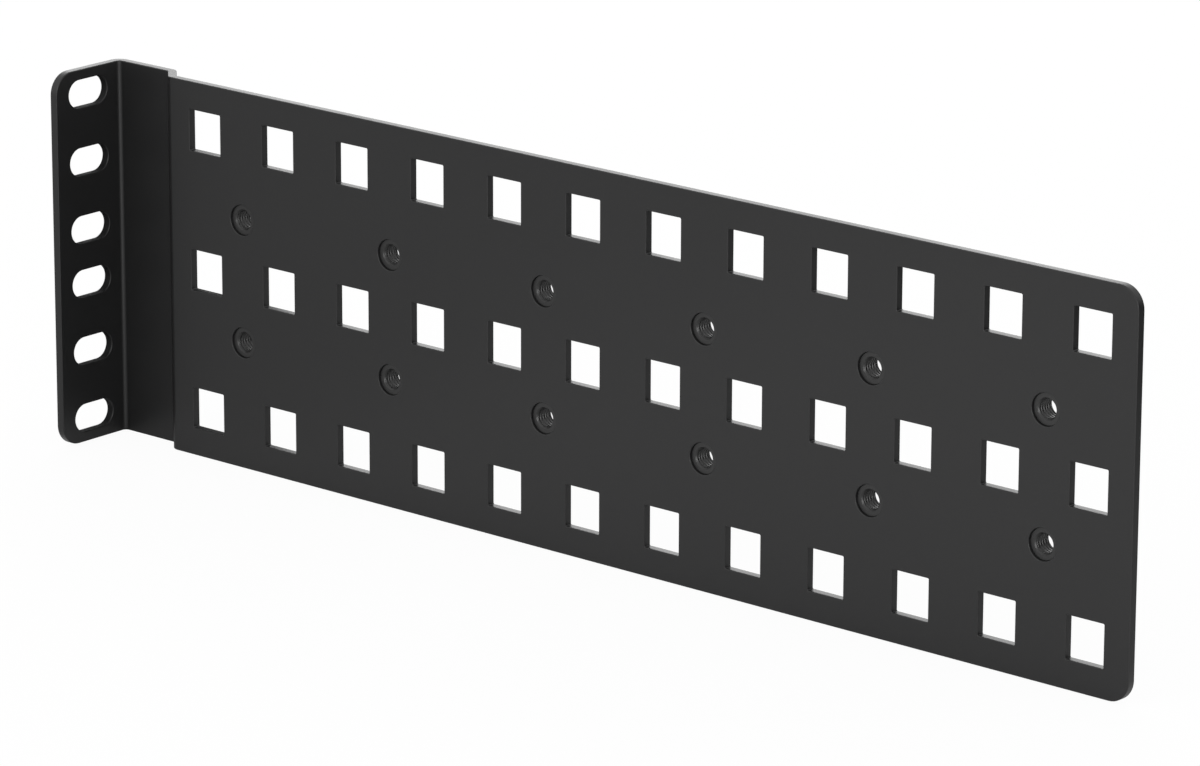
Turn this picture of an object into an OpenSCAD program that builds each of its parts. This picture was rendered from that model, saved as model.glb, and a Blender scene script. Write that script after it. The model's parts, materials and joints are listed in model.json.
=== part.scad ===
// Rack ear bracket, two rack units high. One folded steel sheet makes an ear
// with three screw slots for each unit, a short strip, an offset step and a long
// perforated plate. Clinch nuts are pressed into the plate from behind.
//
// Frame: the origin is the middle of the slot pattern, on the face of the ear
// that lies against the rack rail. +X runs from the ear along the plate, +Z is
// up along the folds, and -Y is the side that the ear points to.

/* [Sheet] */
// Thickness of the sheet
sheet_t = 2; // [1.2:0.1:3]
// Number of rack units that the bracket is high
units = 2; // [2:1:4]
// Height of one rack unit
unit_h = 44.45; // [44:0.05:48]
// How much lower the bracket is than its rack units
height_clear = 1.4; // [0.8:0.1:2]
// Radius of the rounded corners on the ear and on the plate's far end
corner_r = 5; // [1:0.5:6]

/* [Ear] */
// Width of the ear, from the back of the strip to the free edge
ear_w = 22; // [20:0.5:36]
// Distance from the slot centres to the free edge of the ear
slot_edge = 10; // [8.5:0.25:12]
// Inside radius of the fold between ear and strip
ear_fold_r = 1; // [0.5:0.1:2.5]

/* [Slots] */
// Length of a screw slot, end to end
slot_len = 12; // [8:0.25:15]
// Width of a screw slot
slot_w = 6.5; // [5:0.1:8]
// Distance between the three slots of one rack unit
slot_step = 15.875; // [14.5:0.025:16.5]

/* [Plate] */
// Distance from the ear's rail face to the outer corner of the plate
plate_x = 19.5; // [16:0.5:40]
// Length of the plate
plate_len = 270; // [120:1:400]
// How far the plate is stepped forward of the strip
step_depth = 4; // [2.5:0.1:7]
// Angle of the step between strip and plate, in degrees
step_angle = 45; // [35:1:60]
// Inside radius of the two folds of the step
step_fold_r = 0.4; // [0.2:0.1:1]

/* [Cage nut holes] */
// Side of a square hole
hole_s = 9.5; // [8:0.1:11]
// Distance between the hole columns
col_pitch = 22.5; // [20:0.5:40]
// Distance between the hole rows
row_pitch = 32.5; // [30:0.5:36]
// Least plate left outside the first and last column
end_margin = 6; // [4:0.5:10]

/* [Clinch nuts] */
// Diameter of the threaded bore
thread_d = 4.3; // [3:0.1:5.2]
// Diameter of the shank that is pressed into the sheet
shank_d = 7; // [6.4:0.1:8]
// Length of the shank
shank_l = 1.4; // [0.8:0.1:1.8]
// Diameter of the body behind the sheet
body_d = 9.6; // [8.6:0.1:11]
// Height of the body behind the sheet
body_h = 3.3; // [2:0.1:6]
// Chamfer at both ends of the thread
thread_chamfer = 0.3; // [0.1:0.05:0.6]
// Distance between the two rows of nuts
nut_rows = 28.5; // [24:0.5:30]
// Hole size over the shank, before the sheet flows round it
clinch_gap = 0.04; // [0.02:0.01:0.1]

/* [Hidden] */
$fn = 64;
over = 1;                                  // how far a cutter runs past a face

panel_h = units * unit_h - height_clear;
half_h = panel_h / 2;
edge_y = -slot_edge;                       // free edge of the ear
strip_back = ear_w - slot_edge;            // rear face of the strip
strip_front = strip_back - sheet_t;
plate_front = strip_front - step_depth;
plate_back = plate_front + sheet_t;
plate_end = plate_x + plate_len;

// step: sharp corners of its front and back faces, and centres of its folds
half_tan = tan(step_angle / 2);
fold_out = step_fold_r + sheet_t;
front1_x = plate_x - step_depth / tan(step_angle);
back1_x = front1_x + sheet_t * half_tan;
back2_x = plate_x + sheet_t * half_tan;
fold1 = [front1_x - step_fold_r * half_tan, strip_front - step_fold_r];
fold2 = [back2_x + step_fold_r * half_tan, plate_back + step_fold_r];
blend = 0.001;                             // keeps round and flat faces from only touching

// hole pattern, centred on the plate
cols = floor((plate_len - 2 * end_margin - hole_s) / col_pitch) + 1;
col0 = plate_x + (plate_len - (cols - 1) * col_pitch) / 2;
rows = floor((panel_h - 2 * end_margin - hole_s) / row_pitch) + 1;
nut_cols = floor(cols / 2);

steel_black = [0.17, 0.17, 0.175];
nut_black = [0.20, 0.20, 0.205];

function col_x(i) = col0 + i * col_pitch;
function row_z(j) = (j - (rows - 1) / 2) * row_pitch;

// Part of a ring between two angles, of less than 180 degrees
module ring_sector(r_in, r_out, from, to) {
    far = 2 * r_out;
    mid = (from + to) / 2;
    intersection() {
        difference() {
            circle(r = r_out);
            circle(r = r_in);
        }
        polygon([[0, 0],
                 far * [cos(from), sin(from)],
                 2 * far * [cos(mid), sin(mid)],
                 far * [cos(to), sin(to)]]);
    }
}

// Wedge from the origin, as wide as a fold of the step turns
module fold_wedge(mid, reach) {
    h = step_angle / 2 + 0.5;
    polygon([[0, 0],
             reach * [cos(mid - h), sin(mid - h)],
             reach / cos(h) * [cos(mid), sin(mid)],
             reach * [cos(mid + h), sin(mid + h)]]);
}

// Rounds one fold of its children about a centre: the outer corner is cut
// round and the inner one is filled
module round_fold(centre, mid) {
    difference() {
        children();
        translate(centre) difference() {
            fold_wedge(mid, 2 * fold_out);
            circle(r = fold_out + blend);
        }
    }
    translate(centre) difference() {
        fold_wedge(mid, step_fold_r + sheet_t / 2);
        circle(r = step_fold_r + blend);
    }
}

// Strip, step and plate in section, with sharp folds
module sharp_section() {
    polygon([[ear_fold_r, strip_front], [front1_x, strip_front],
             [plate_x, plate_front], [plate_end, plate_front],
             [plate_end, plate_back], [back2_x, plate_back],
             [back1_x, strip_back], [ear_fold_r, strip_back]]);
}

// Section of the folded sheet, seen from above
module sheet_section() {
    // ear
    translate([-sheet_t, edge_y])
        square([sheet_t, strip_front - ear_fold_r - edge_y]);
    translate([ear_fold_r, strip_front - ear_fold_r])
        ring_sector(ear_fold_r, ear_fold_r + sheet_t, 90, 180);
    // strip, step and plate
    round_fold(fold1, 90 - step_angle / 2)
        round_fold(fold2, 270 - step_angle / 2)
            sharp_section();
}

// What is cut off a corner to round it. The corner is at the origin and the
// material lies towards +U and +V; the cutter stands through the sheet.
module corner_cut(r, through) {
    difference() {
        translate([-over, -over, -over]) cube([r + over, r + over, through + 2 * over]);
        translate([r, r, -2 * over]) cylinder(r = r, h = through + 4 * over);
    }
}

// Rounded corners of the ear's free edge
module ear_corners() {
    for (side = [0, 1])
        mirror([0, 0, side])
            translate([0, edge_y, -half_h])
                rotate([0, -90, 0])
                    corner_cut(corner_r, sheet_t);
}

// Rounded corners of the plate's far end
module plate_corners() {
    for (side = [0, 1])
        mirror([0, 0, side])
            translate([plate_end, plate_back, -half_h])
                rotate([90, 0, 0]) mirror([1, 0, 0])
                    corner_cut(corner_r, sheet_t);
}

// Slot through the ear, long across the ear
module ear_slot() {
    reach = slot_len / 2 - slot_w / 2;
    rotate([0, 90, 0]) {
        for (s = [-1, 1])
            translate([0, s * reach, -sheet_t - over])
                cylinder(d = slot_w, h = sheet_t + 2 * over);
        translate([-slot_w / 2, -reach, -sheet_t - over])
            cube([slot_w, 2 * reach, sheet_t + 2 * over]);
    }
}

// Three slots for each rack unit
module ear_slots() {
    for (u = [0:units - 1], s = [-1:1])
        translate([0, 0, (u - (units - 1) / 2) * unit_h + s * slot_step]) ear_slot();
}

module cage_nut_holes() {
    for (i = [0:cols - 1], j = [0:rows - 1])
        translate([col_x(i) - hole_s / 2, plate_front - over, row_z(j) - hole_s / 2])
            cube([hole_s, sheet_t + 2 * over, hole_s]);
}

// Places its children at each clinch nut, on the rear face of the plate,
// with Z pointing out of the rear face
module at_nuts() {
    for (i = [0:nut_cols - 1], s = [-1, 1])
        translate([col_x(2 * i) + col_pitch / 2, plate_back, s * nut_rows / 2])
            rotate([-90, 0, 0]) children();
}

module folded_sheet() {
    color(steel_black)
    difference() {
        translate([0, 0, -half_h]) linear_extrude(height = panel_h) sheet_section();
        ear_corners();
        plate_corners();
        ear_slots();
        cage_nut_holes();
        at_nuts()
            translate([0, 0, -sheet_t - over])
                cylinder(d = shank_d + clinch_gap, h = sheet_t + 2 * over);
    }
}

// One clinch nut: a shank in the sheet, a body behind it and a plain bore
module clinch_nut() {
    rotate_extrude()
        polygon([[thread_d / 2 + thread_chamfer, -shank_l],
                 [shank_d / 2, -shank_l],
                 [shank_d / 2, 0],
                 [body_d / 2, 0],
                 [body_d / 2, body_h - 2 * thread_chamfer],
                 [body_d / 2 - 2 * thread_chamfer, body_h],
                 [thread_d / 2 + thread_chamfer, body_h],
                 [thread_d / 2, body_h - thread_chamfer],
                 [thread_d / 2, thread_chamfer - shank_l]]);
}

module clinch_nuts() {
    color(nut_black) at_nuts() clinch_nut();
}

folded_sheet();
clinch_nuts();
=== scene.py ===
# %% [markdown]
# # A rack mount ear bracket in Blender
#
# The real thing is one sheet of 2 mm steel. A short ear with screw slots is
# folded forward at one end, a 45 degree step moves the long plate forward of
# the strip, and the plate is full of square holes for cage nuts. Twelve clinch
# nuts are pressed into it from behind. The sheet is powder coated black, and
# the nuts have a thin black finish of their own.
#
# The measured shape is already packed as a frame, so this lesson only has to
# dress it: soften the punched edges, cut real threads in the nuts, mix the
# coating, and set up a white studio round it.
#
# All lengths are in metres. The origin is the middle of the slots on the ear's
# face, x runs along the plate, z is up, and the ear points to minus y.

# %% The frame: the measured part and its box
import json
import math

import bpy
from mathutils import Matrix, Vector

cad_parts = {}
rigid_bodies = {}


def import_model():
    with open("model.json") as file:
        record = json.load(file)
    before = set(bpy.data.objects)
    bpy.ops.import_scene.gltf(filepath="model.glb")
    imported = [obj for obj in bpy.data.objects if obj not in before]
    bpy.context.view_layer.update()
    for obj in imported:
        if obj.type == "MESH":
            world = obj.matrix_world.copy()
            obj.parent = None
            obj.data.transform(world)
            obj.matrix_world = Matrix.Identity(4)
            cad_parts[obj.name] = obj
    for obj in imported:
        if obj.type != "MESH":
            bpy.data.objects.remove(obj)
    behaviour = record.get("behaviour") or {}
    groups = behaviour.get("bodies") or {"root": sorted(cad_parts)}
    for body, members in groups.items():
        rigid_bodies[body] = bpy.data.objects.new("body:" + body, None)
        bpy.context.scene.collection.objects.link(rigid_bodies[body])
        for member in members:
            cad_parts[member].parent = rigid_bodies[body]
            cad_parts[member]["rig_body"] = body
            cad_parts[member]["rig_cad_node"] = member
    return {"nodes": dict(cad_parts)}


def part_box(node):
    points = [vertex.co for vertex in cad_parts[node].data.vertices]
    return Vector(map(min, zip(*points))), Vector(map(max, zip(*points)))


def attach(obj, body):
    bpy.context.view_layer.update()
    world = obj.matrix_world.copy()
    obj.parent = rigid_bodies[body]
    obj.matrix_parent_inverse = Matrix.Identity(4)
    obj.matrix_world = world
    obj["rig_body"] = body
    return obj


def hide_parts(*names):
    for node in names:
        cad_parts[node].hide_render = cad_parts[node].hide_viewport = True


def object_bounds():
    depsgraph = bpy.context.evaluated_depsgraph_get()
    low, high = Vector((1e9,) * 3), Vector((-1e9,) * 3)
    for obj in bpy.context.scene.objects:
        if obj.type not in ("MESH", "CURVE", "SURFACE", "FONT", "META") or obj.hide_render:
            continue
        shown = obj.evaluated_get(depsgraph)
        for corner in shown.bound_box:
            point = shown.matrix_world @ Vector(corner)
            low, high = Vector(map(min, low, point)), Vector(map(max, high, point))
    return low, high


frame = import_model()
cad_low, cad_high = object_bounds()
sheet_low, sheet_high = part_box("folded_sheet")
MM = 0.001
WHITE = (1.0, 1.0, 1.0, 1.0)
BLACK = (0.0, 0.0, 0.0, 1.0)
scene = bpy.context.scene
print("nodes:", sorted(frame["nodes"]))
print("box in mm:", [round(v / MM, 2) for v in cad_high - cad_low])
print("sheet in mm:", [round(v / MM, 2) for v in sheet_high - sheet_low])

# %% [markdown]
# ## Small helpers
#
# An operator works on everything that is selected, and the loaded nodes are
# selected. So each step starts by selecting nothing, or one object only.
#
# The sheet arrives as triangles that share no corners. Its copy is welded, and
# its flats are joined up again, so that a bevel can run along the real edges.

# %% Selecting, settling and copying pieces
WELD = 1e-6  # corners nearer than this become one
FLAT_WITHIN = math.radians(0.5)  # faces that turn by less are one flat


def only(obj):
    bpy.ops.object.select_all(action="DESELECT")
    obj.select_set(True)
    bpy.context.view_layer.objects.active = obj


def apply_modifier(obj, kind, **settings):
    only(obj)
    bpy.ops.object.modifier_add(type=kind)
    mod = obj.modifiers[-1]
    for key, value in settings.items():
        setattr(mod, key, value)
    bpy.ops.object.modifier_apply(modifier=mod.name)


def settle(obj):
    """Puts the object's place into its mesh, so the object sits at the origin."""
    only(obj)
    bpy.ops.object.transform_apply(location=True, rotation=True, scale=True)


def own_copy(node, name, cuts):
    """A free copy of a CAD node, with its loose triangles merged and its flats
    joined up again. Each cut, an axis and a place, runs through a row of holes,
    so that no face is left with a hole in it."""
    only(node)
    bpy.ops.object.duplicate()
    obj = bpy.context.active_object
    obj.name = obj.data.name = name
    obj.parent = None
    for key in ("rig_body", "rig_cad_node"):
        if key in obj:
            del obj[key]
    bpy.ops.object.mode_set(mode="EDIT")
    bpy.ops.mesh.select_all(action="SELECT")
    bpy.ops.mesh.remove_doubles(threshold=WELD)
    for axis, place in cuts:
        bpy.ops.mesh.select_all(action="SELECT")
        bpy.ops.mesh.bisect(plane_co=axis * place, plane_no=axis)
        bpy.ops.mesh.mark_seam(clear=False)
    bpy.ops.mesh.select_all(action="SELECT")
    bpy.ops.mesh.dissolve_limited(angle_limit=FLAT_WITHIN, delimit={"SEAM"})
    bpy.ops.mesh.mark_seam(clear=True)
    bpy.ops.object.mode_set(mode="OBJECT")
    obj.data.materials.clear()
    return obj


# %% [markdown]
# ## The studio
#
# The coating is so dark that nearly all the light on it is reflection. So what
# stands round the bracket matters as much as the lamps: a white world, a pale
# floor, three soft lamps, and a few dark cards that only reflections see.
#
# The world comes first. It is pure white where it is seen or mirrored, and a
# little lower where it only gives light, so that it washes nothing out.

# %% White world: full where it is seen or mirrored, lower as a light
WORLD_AS_SEEN, WORLD_AS_LIGHT = 1.0, 0.9
world = bpy.data.worlds.new("white_studio")
scene.world = world
world.use_nodes = True
nt = world.node_tree
seen = nt.nodes["Background"]
seen.inputs["Color"].default_value = WHITE
seen.inputs["Strength"].default_value = WORLD_AS_SEEN
fill = nt.nodes.new("ShaderNodeBackground")
fill.inputs["Color"].default_value = WHITE
fill.inputs["Strength"].default_value = WORLD_AS_LIGHT
rays = nt.nodes.new("ShaderNodeLightPath")
camera_or_mirror = nt.nodes.new("ShaderNodeMath")
camera_or_mirror.operation = "MAXIMUM"
any_seen = nt.nodes.new("ShaderNodeMath")
any_seen.operation = "MAXIMUM"
blend = nt.nodes.new("ShaderNodeMixShader")
nt.links.new(rays.outputs["Is Camera Ray"], camera_or_mirror.inputs[0])
nt.links.new(rays.outputs["Is Glossy Ray"], camera_or_mirror.inputs[1])
nt.links.new(camera_or_mirror.outputs[0], any_seen.inputs[0])
nt.links.new(rays.outputs["Is Transmission Ray"], any_seen.inputs[1])
nt.links.new(any_seen.outputs[0], blend.inputs["Fac"])
nt.links.new(fill.outputs[0], blend.inputs[1])
nt.links.new(seen.outputs[0], blend.inputs[2])
nt.links.new(blend.outputs[0], nt.nodes["World Output"].inputs["Surface"])
scene.view_settings.view_transform = "Standard"
print("world as a light:", fill.inputs["Strength"].default_value)

# %% [markdown]
# ## The floor
#
# The bracket stands on its lower edge, on a wide sheet of matt paper. A white
# floor could be matt all over, but then a grey horizon shows behind the part.
# So the camera sees it almost as a plain glow, with a trace of the paper left
# for the contact shadow, while lamps and reflections meet real paper.

# %% Pale floor under the lower edge
FLOOR_SIZE, FLOOR_GAP = 12.0, 0.2 * MM
PAPER_TONE, GLOW_SHARE = 0.86, 0.95
floor_z = cad_low.z
bpy.ops.object.select_all(action="DESELECT")
bpy.ops.mesh.primitive_plane_add(size=FLOOR_SIZE,
                                 location=(0.14, 0.0, floor_z - FLOOR_GAP))
floor = bpy.context.active_object
floor.name = "studio_floor"
floor_paint = bpy.data.materials.new("studio_paper")
floor_paint.use_nodes = True
nt = floor_paint.node_tree
nt.nodes.clear()
paper = nt.nodes.new("ShaderNodeBsdfDiffuse")
paper.inputs["Color"].default_value = (*(PAPER_TONE,) * 3, 1.0)
glow = nt.nodes.new("ShaderNodeEmission")
glow.inputs["Color"].default_value = WHITE
glow.inputs["Strength"].default_value = 1.0
rays = nt.nodes.new("ShaderNodeLightPath")
share = nt.nodes.new("ShaderNodeMath")
share.operation = "MULTIPLY"
share.inputs[1].default_value = GLOW_SHARE
mix = nt.nodes.new("ShaderNodeMixShader")
out = nt.nodes.new("ShaderNodeOutputMaterial")
nt.links.new(rays.outputs["Is Camera Ray"], share.inputs[0])
nt.links.new(share.outputs[0], mix.inputs["Fac"])
nt.links.new(paper.outputs[0], mix.inputs[1])
nt.links.new(glow.outputs[0], mix.inputs[2])
nt.links.new(mix.outputs[0], out.inputs["Surface"])
floor.data.materials.append(floor_paint)
print("floor at", round(floor_z / MM, 2), "mm")

# %% [markdown]
# ## The lamps
#
# Three soft lamps, each a rectangle, since a small round lamp would leave hot
# spots on half glossy paint. A wide one behind the bracket skims its upper
# edges. A square one in front and above lifts the faces. A narrow bright one
# beside the camera shines into the round of the fold.

# %% Soft lamps
def soft_panel(name, aim, direction, distance, width, height, radiance):
    """A rectangular lamp that looks at aim from a direction. Its radiance is
    how bright it looks in a mirror, where the world is 1."""
    light = bpy.data.lights.new(name, "AREA")
    light.shape = "RECTANGLE"
    light.size, light.size_y = width, height
    light.energy = radiance * math.pi * width * height
    obj = bpy.data.objects.new(name, light)
    scene.collection.objects.link(obj)
    d = Vector(direction).normalized()
    obj.location = Vector(aim) + d * distance
    obj.rotation_euler = d.to_track_quat("Z", "Y").to_euler()
    obj.visible_camera = False
    print(name, "energy", round(light.energy, 2))


middle = (cad_low + cad_high) / 2
soft_panel("rear_panel", middle, direction=(-0.63, 0.73, 0.36),
           distance=1.6, width=1.6, height=0.7, radiance=2.6)
soft_panel("key_panel", middle, direction=(-0.10, -0.85, 0.50),
           distance=2.0, width=1.2, height=1.2, radiance=1.5)
soft_panel("fold_lamp", middle, direction=(0.74, -0.64, 0.14),
           distance=1.3, width=0.25, height=0.5, radiance=12.0)

# %% [markdown]
# ## The cards
#
# In a white studio a black part turns grey, since every face mirrors white. A
# studio keeps some faces dark with black cards just out of view. These do the
# same: no lamp or eye sees them, they are there only in reflections. Two are
# black, behind the right end and behind the ear. Two lie on the floor and are
# grey, so that the ear and the plate each mirror a tone of their own.

# %% Dark cards, seen only in reflections
CARD_GAP = 0.4 * MM  # above the bracket's lower edge
EAR_CARD_DROP = 0.056  # its middle, below the bracket's top


def card(name, tone, centre, facing, width, height):
    """A card of one tone, from black at 0 to the floor's white at 1."""
    bpy.ops.object.select_all(action="DESELECT")
    bpy.ops.mesh.primitive_plane_add(size=1.0)
    board = bpy.context.active_object
    board.name = name
    board.scale = (width, height, 1.0)
    board.rotation_euler = Vector(facing).to_track_quat("Z", "Y").to_euler()
    board.location = centre
    settle(board)
    paint = bpy.data.materials.new(name)
    paint.use_nodes = True
    shader = paint.node_tree.nodes["Principled BSDF"]
    shader.inputs["Base Color"].default_value = BLACK
    shader.inputs["Specular IOR Level"].default_value = 0.0
    shader.inputs["Emission Color"].default_value = (tone, tone, tone, 1.0)
    shader.inputs["Emission Strength"].default_value = 1.0
    board.data.materials.append(paint)
    board.visible_camera = False
    board.visible_diffuse = False
    board.visible_shadow = False
    print(name, "tone", tone, "at", [round(v, 3) for v in centre])


UP = (0, 0, 1)
card("right_card", tone=0.0, centre=(0.42, 0.16, 0.02),
     facing=(-0.63, -0.73, 0.0), width=0.5, height=0.14)
# behind the ear, and no taller, so that the upper edges still see the lamp
card("ear_card", tone=0.0, centre=(-0.006, 0.03, cad_high.z - EAR_CARD_DROP),
     facing=(1, 0, 0), width=0.08, height=0.11)
card("left_card", tone=0.55, centre=(-0.33, -0.40, floor_z + CARD_GAP),
     facing=UP, width=0.74, height=0.78)
card("rear_card", tone=0.50, centre=(0.36, 0.27, floor_z + CARD_GAP),
     facing=UP, width=0.82, height=0.50)

# %% [markdown]
# ## The camera
#
# A long lens, a little above the bracket and to the right of it. Its turn is
# built from three plain angles: how far it is turned, tipped and rolled.

# %% Camera
SENSOR_MM, LENS_MM = 36.0, 189.67
CAMERA_SPOT = (0.99884, -0.97571, 0.37527)
turned, tipped, rolled = 0.71394, 0.28344, 0.00338  # radians
cam_data = bpy.data.cameras.new("camera")
cam_data.sensor_width = SENSOR_MM
cam_data.lens = LENS_MM
cam_data.clip_start, cam_data.clip_end = 0.1, 50.0
camera = bpy.data.objects.new("camera", cam_data)
scene.collection.objects.link(camera)
turn = (Matrix.Rotation(turned, 4, "Z")
        @ Matrix.Rotation(math.pi / 2 - tipped, 4, "X")
        @ Matrix.Rotation(rolled, 4, "Z"))
camera.matrix_world = Matrix.Translation(CAMERA_SPOT) @ turn
scene.camera = camera
print("camera to bracket", round((camera.location - middle).length, 3), "m")

# %% [markdown]
# ## The coating
#
# Powder coat is melted plastic. It is smooth and half glossy, but never flat:
# it has a fine orange peel, and its gloss drifts a little. A flat black would
# look like a drawing. The sheet and the nuts use the same effect, so it is one
# node group, with its own values in each finish.

# %% Orange peel and drifting gloss, as a node group
DRIFT_PER_METRE, DRIFT_DETAIL = 22.0, 3.0
GRIT_PER_METRE, GRIT_DETAIL = 2600.0, 2.0
PEEL_DETAIL, PEEL_ROUGHNESS = 1.5, 0.45
PEEL_HEIGHT = 0.00004
COLOUR, NUMBER, DIRECTION = ("NodeSocketColor", "NodeSocketFloat",
                             "NodeSocketVector")


def peel_group():
    group = bpy.data.node_groups.new("orange_peel", "ShaderNodeTree")
    for side, sockets in (("INPUT", (("Dark", COLOUR), ("Light", COLOUR),
                                     ("Smoothest", NUMBER), ("Roughest", NUMBER),
                                     ("Peel per metre", NUMBER),
                                     ("Depth", NUMBER))),
                          ("OUTPUT", (("Colour", COLOUR), ("Roughness", NUMBER),
                                      ("Normal", DIRECTION)))):
        for name, kind in sockets:
            group.interface.new_socket(name=name, in_out=side, socket_type=kind)
    n, link = group.nodes, group.links.new
    gin, gout = n.new("NodeGroupInput"), n.new("NodeGroupOutput")
    where = n.new("ShaderNodeTexCoord")
    drift = n.new("ShaderNodeTexNoise")
    drift.inputs["Scale"].default_value = DRIFT_PER_METRE
    drift.inputs["Detail"].default_value = DRIFT_DETAIL
    peel = n.new("ShaderNodeTexNoise")
    peel.inputs["Detail"].default_value = PEEL_DETAIL
    peel.inputs["Roughness"].default_value = PEEL_ROUGHNESS
    grit = n.new("ShaderNodeTexNoise")
    grit.inputs["Scale"].default_value = GRIT_PER_METRE
    grit.inputs["Detail"].default_value = GRIT_DETAIL
    for tex in (drift, peel, grit):
        link(where.outputs["Object"], tex.inputs["Vector"])
    link(gin.outputs["Peel per metre"], peel.inputs["Scale"])
    tone = n.new("ShaderNodeMix")
    tone.data_type = "RGBA"
    link(grit.outputs["Fac"], tone.inputs["Factor"])
    link(gin.outputs["Dark"], tone.inputs["A"])
    link(gin.outputs["Light"], tone.inputs["B"])
    link(tone.outputs["Result"], gout.inputs["Colour"])
    # a noise keeps mostly to the middle of its range, so that part is stretched
    gloss = n.new("ShaderNodeMapRange")
    gloss.inputs["From Min"].default_value = 0.3
    gloss.inputs["From Max"].default_value = 0.7
    link(drift.outputs["Fac"], gloss.inputs["Value"])
    link(gin.outputs["Smoothest"], gloss.inputs["To Min"])
    link(gin.outputs["Roughest"], gloss.inputs["To Max"])
    link(gloss.outputs["Result"], gout.inputs["Roughness"])
    bump = n.new("ShaderNodeBump")
    bump.inputs["Distance"].default_value = PEEL_HEIGHT
    link(gin.outputs["Depth"], bump.inputs["Strength"])
    link(peel.outputs["Fac"], bump.inputs["Height"])
    link(bump.outputs["Normal"], gout.inputs["Normal"])
    return group


ORANGE_PEEL = peel_group()
print("group sockets:", [s.name for s in ORANGE_PEEL.interface.items_tree])

# %% [markdown]
# ## The two blacks
#
# The sheet is sprayed with powder and baked, which leaves a thick, even, half
# gloss coat. The nuts are small turned parts with a thin black finish, so
# theirs is a little smoother, with a finer and shallower grain. Neither colour
# is a pure black: a real black coat still scatters about a hundredth of the
# light.

# %% Both finishes, mixed from the group
PLASTIC_IOR = 1.5


def finish(name, dark, light, smooth, rough, per_metre, depth, specular):
    mat = bpy.data.materials.new(name)
    mat.use_nodes = True
    n, link = mat.node_tree.nodes, mat.node_tree.links.new
    shader = n["Principled BSDF"]
    effect = n.new("ShaderNodeGroup")
    effect.node_tree = ORANGE_PEEL
    effect.inputs["Dark"].default_value = (*dark, 1.0)
    effect.inputs["Light"].default_value = (*light, 1.0)
    effect.inputs["Smoothest"].default_value = smooth
    effect.inputs["Roughest"].default_value = rough
    effect.inputs["Peel per metre"].default_value = per_metre
    effect.inputs["Depth"].default_value = depth
    link(effect.outputs["Colour"], shader.inputs["Base Color"])
    link(effect.outputs["Roughness"], shader.inputs["Roughness"])
    link(effect.outputs["Normal"], shader.inputs["Normal"])
    shader.inputs["IOR"].default_value = PLASTIC_IOR
    shader.inputs["Specular IOR Level"].default_value = specular
    print("finish", name)
    return mat


powder_coat = finish("black_powder_coat", dark=(0.007, 0.007, 0.0072),
                     light=(0.011, 0.011, 0.0112), smooth=0.38, rough=0.44,
                     per_metre=620.0, depth=0.18, specular=0.42)
nut_coat = finish("black_nut", dark=(0.008, 0.008, 0.008),
                  light=(0.014, 0.014, 0.014), smooth=0.34, rough=0.42,
                  per_metre=900.0, depth=0.12, specular=0.5)

# %% [markdown]
# ## The folded sheet
#
# The frame has the sheet's true shape, but with edges as sharp as a drawing's.
# Punching and the melted coat leave every real edge slightly round, and that
# round is what catches the light. So a merged copy gets a narrow bevel on all
# edges that turn by more than 40 degrees, which leaves the folds alone. The
# weighted normals then keep the flats flat.
#
# A flat face with holes in it is badly shaded once its edges are bevelled. So
# the copy is first cut through each row of openings: the ear's slots, the
# columns of square holes, and the columns of nuts between every second pair.

# %% Copy the sheet, soften its edges
EDGE_ROUND, EDGE_STEPS = 0.22 * MM, 3
SHARP_OVER = math.radians(40)
SMOOTH_UNDER = math.radians(35)
FLATS_FIRST = 90  # how far the large faces decide the normals, 50 is even
slots_at = 0.0
first_column, column_pitch, columns = 30.75 * MM, 22.5 * MM, 12
along, across = Vector((1, 0, 0)), Vector((0, 1, 0))
cuts = [(across, slots_at)]
for i in range(columns):
    cuts.append((along, first_column + i * column_pitch))
    if i % 2 == 0:
        cuts.append((along, first_column + (i + 0.5) * column_pitch))
sheet = own_copy(frame["nodes"]["folded_sheet"], "coated_sheet", cuts)
print("merged sheet:", len(sheet.data.vertices), "vertices,",
      len(sheet.data.polygons), "faces")
apply_modifier(sheet, "BEVEL", width=EDGE_ROUND, segments=EDGE_STEPS,
               limit_method="ANGLE", angle_limit=SHARP_OVER,
               use_clamp_overlap=False, miter_outer="MITER_ARC")
only(sheet)
bpy.ops.object.shade_smooth_by_angle(angle=SMOOTH_UNDER)
apply_modifier(sheet, "WEIGHTED_NORMAL", mode="FACE_AREA",
               weight=FLATS_FIRST, keep_sharp=True)
sheet.data.materials.append(powder_coat)
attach(sheet, "root")
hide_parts("folded_sheet")
print("coated sheet:", len(sheet.data.polygons), "faces")

# %% [markdown]
# ## The clinch nuts
#
# Each nut is turned from bar: a shank that sits in the sheet, a body behind
# it, and a bore for the thread. A lathe makes it by following one profile, and
# so does this: one circle is extruded ring by ring, and each ring is widened,
# narrowed or raised. The outer corners are broken a little, as on the real nut.

# %% The nut's blank, drawn ring by ring
SHANK_R, BODY_R, BORE_R = 3.5 * MM, 4.8 * MM, 2.15 * MM
SHANK_L, BODY_H, CHAMFER = 1.4 * MM, 3.3 * MM, 0.3 * MM
NUT_SIDES, CORNER = 64, 0.08 * MM
NUT_WELD = 1e-7


def ring_to(radius_now, radius, rise):
    """Extrudes the selected ring, then moves and widens or narrows it."""
    bpy.ops.mesh.extrude_edges_move(
        TRANSFORM_OT_translate={"value": (0, 0, rise)})
    k = radius / radius_now
    bpy.ops.transform.resize(value=(k, k, 1), center_override=(0, 0, 0))
    return radius


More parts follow.
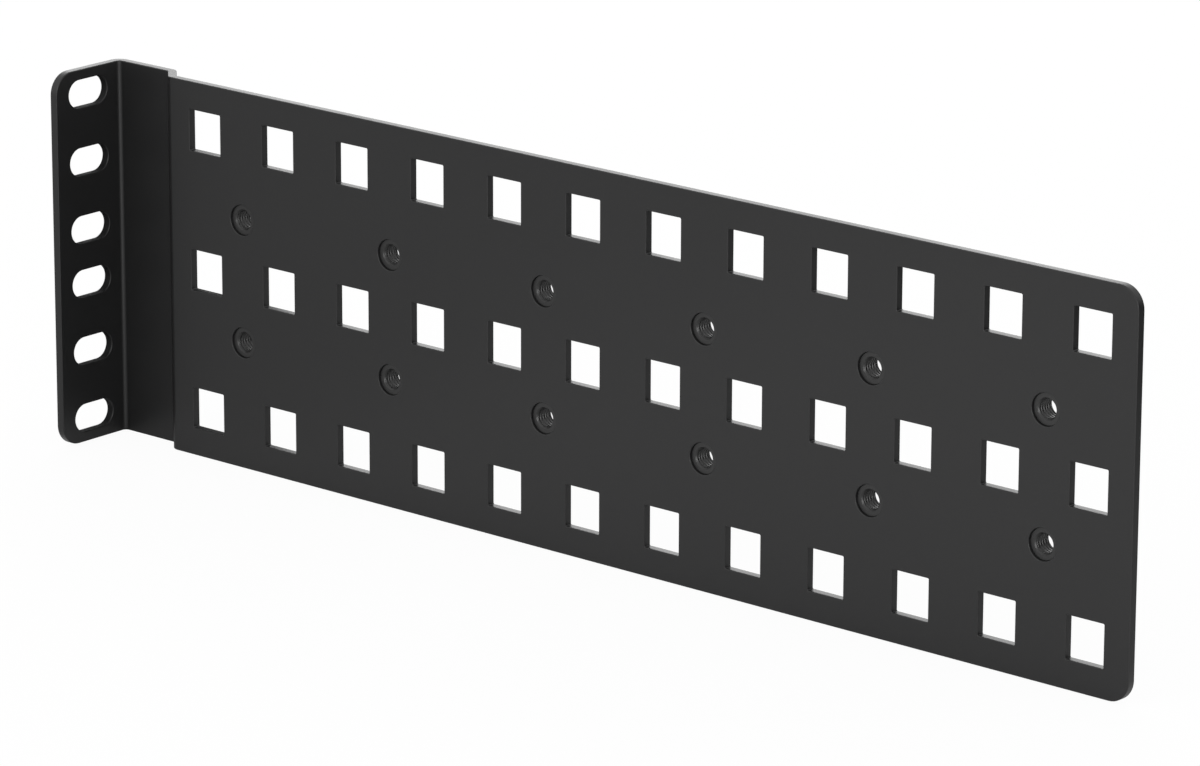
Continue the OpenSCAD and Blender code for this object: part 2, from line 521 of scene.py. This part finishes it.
def nut_blank():
    bpy.ops.object.select_all(action="DESELECT")
    start = BORE_R + CHAMFER
    bpy.ops.mesh.primitive_circle_add(vertices=NUT_SIDES, radius=start,
                                      location=(0, 0, -SHANK_L))
    nut = bpy.context.active_object
    settle(nut)
    bpy.ops.object.mode_set(mode="EDIT")
    bpy.ops.mesh.select_all(action="SELECT")
    r = start
    for radius, rise in ((SHANK_R - CORNER, 0), (SHANK_R, CORNER),
                         (SHANK_R, SHANK_L - CORNER),
                         (BODY_R - CORNER, 0), (BODY_R, CORNER),
                         (BODY_R, BODY_H - 2 * CHAMFER - CORNER),
                         (BODY_R - 2 * CHAMFER, 2 * CHAMFER),
                         (BORE_R + CHAMFER, 0), (BORE_R, -CHAMFER),
                         (BORE_R, -(SHANK_L + BODY_H - 2 * CHAMFER))):
        r = ring_to(r, radius, rise)
    bpy.ops.mesh.select_all(action="DESELECT")
    bpy.ops.mesh.select_non_manifold()
    bpy.ops.mesh.bridge_edge_loops()
    bpy.ops.mesh.select_all(action="SELECT")
    bpy.ops.mesh.remove_doubles(threshold=NUT_WELD)
    bpy.ops.mesh.normals_make_consistent(inside=False)
    bpy.ops.object.mode_set(mode="OBJECT")
    print("blank:", len(nut.data.polygons), "faces")
    return nut


blank = nut_blank()

# %% [markdown]
# ## The thread
#
# The thread is cut as a tap cuts it. A spiral groove drawn straight into the
# bore would be hard to end cleanly at the chamfers. So one turn of thread is
# drawn as a profile, the Screw modifier winds it into a threaded rod that is
# longer than the nut, and a Boolean takes the rod away.

# %% The tap: one V of thread, wound up by the Screw modifier
PITCH, THREAD_DEPTH = 0.8 * MM, 0.20 * MM
FLANK, CREST, ROOT = 0.25 * PITCH, 0.10 * PITCH, 0.40 * PITCH
ROD_UNDER_BORE = 0.06 * MM
TURNS_TO_SPARE, STEPS_PER_TURN = 4, 32


def tap():
    bpy.ops.object.select_all(action="DESELECT")
    bpy.ops.mesh.primitive_plane_add(size=MM)
    rod = bpy.context.active_object
    bpy.ops.object.mode_set(mode="EDIT")
    bpy.ops.mesh.select_all(action="SELECT")
    bpy.ops.mesh.merge(type="CENTER")
    low = -SHANK_L - 2 * PITCH
    bpy.ops.transform.translate(value=(BORE_R - ROD_UNDER_BORE, 0, low))
    for out_by, up in ((THREAD_DEPTH, FLANK), (0, CREST),
                       (-THREAD_DEPTH, FLANK), (0, ROOT)):
        bpy.ops.mesh.extrude_region_move(
            TRANSFORM_OT_translate={"value": (out_by, 0, up)})
    bpy.ops.object.mode_set(mode="OBJECT")
    turns = int((SHANK_L + BODY_H) / PITCH) + TURNS_TO_SPARE
    apply_modifier(rod, "SCREW", screw_offset=PITCH, iterations=turns,
                   steps=STEPS_PER_TURN, render_steps=STEPS_PER_TURN,
                   use_merge_vertices=True, merge_threshold=NUT_WELD,
                   use_smooth_shade=False)
    bpy.ops.object.mode_set(mode="EDIT")
    bpy.ops.mesh.select_all(action="SELECT")
    bpy.ops.mesh.remove_doubles(threshold=NUT_WELD)
    bpy.ops.mesh.select_all(action="DESELECT")
    bpy.ops.mesh.select_non_manifold()
    bpy.ops.mesh.fill()
    bpy.ops.mesh.select_all(action="SELECT")
    bpy.ops.mesh.normals_make_consistent(inside=False)
    bpy.ops.object.mode_set(mode="OBJECT")
    print("tap:", turns, "turns,", len(rod.data.polygons), "faces")
    return rod


rod = tap()
apply_modifier(blank, "BOOLEAN", object=rod, operation="DIFFERENCE",
               solver="EXACT")
bpy.data.objects.remove(rod)
only(blank)
bpy.ops.object.shade_smooth_by_angle(angle=SMOOTH_UNDER)
print("tapped nut:", len(blank.data.polygons), "faces,",
      [round(v / MM, 2) for v in blank.dimensions])

# %% [markdown]
# ## Pressing the nuts in
#
# The nuts sit in two rows of six, between the columns of square holes, and a
# press squeezes them into the sheet from behind. Nobody lines up their
# threads, so each copy is turned by an angle of its own.

# %% Twelve copies, each turned by its own angle and pressed in from behind
PLATE_BACK = 8.0 * MM
TWIST_PER_COLUMN, TWIST_PER_ROW = 47, 110  # degrees
nut_rows = (14.25 * MM, -14.25 * MM)
nut_columns = [first_column + (i + 0.5) * column_pitch
               for i in range(0, columns, 2)]
nut_names = []
for row, z in enumerate(nut_rows):
    for column, x in enumerate(nut_columns):
        only(blank)
        bpy.ops.object.duplicate()
        nut = bpy.context.active_object
        nut.name = nut.data.name = f"clinch_nut_{row + 1}_{column + 1}"
        twist = math.radians(TWIST_PER_COLUMN * column + TWIST_PER_ROW * row)
        nut.matrix_world = (Matrix.Translation((x, PLATE_BACK, z))
                            @ Matrix.Rotation(-math.pi / 2, 4, "X")
                            @ Matrix.Rotation(twist, 4, "Z"))
        settle(nut)
        nut.data.materials.append(nut_coat)
        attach(nut, "root")
        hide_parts("clinch_nuts")
        nut_names.append(nut.name)
bpy.data.objects.remove(blank)
print("nuts:", nut_names)
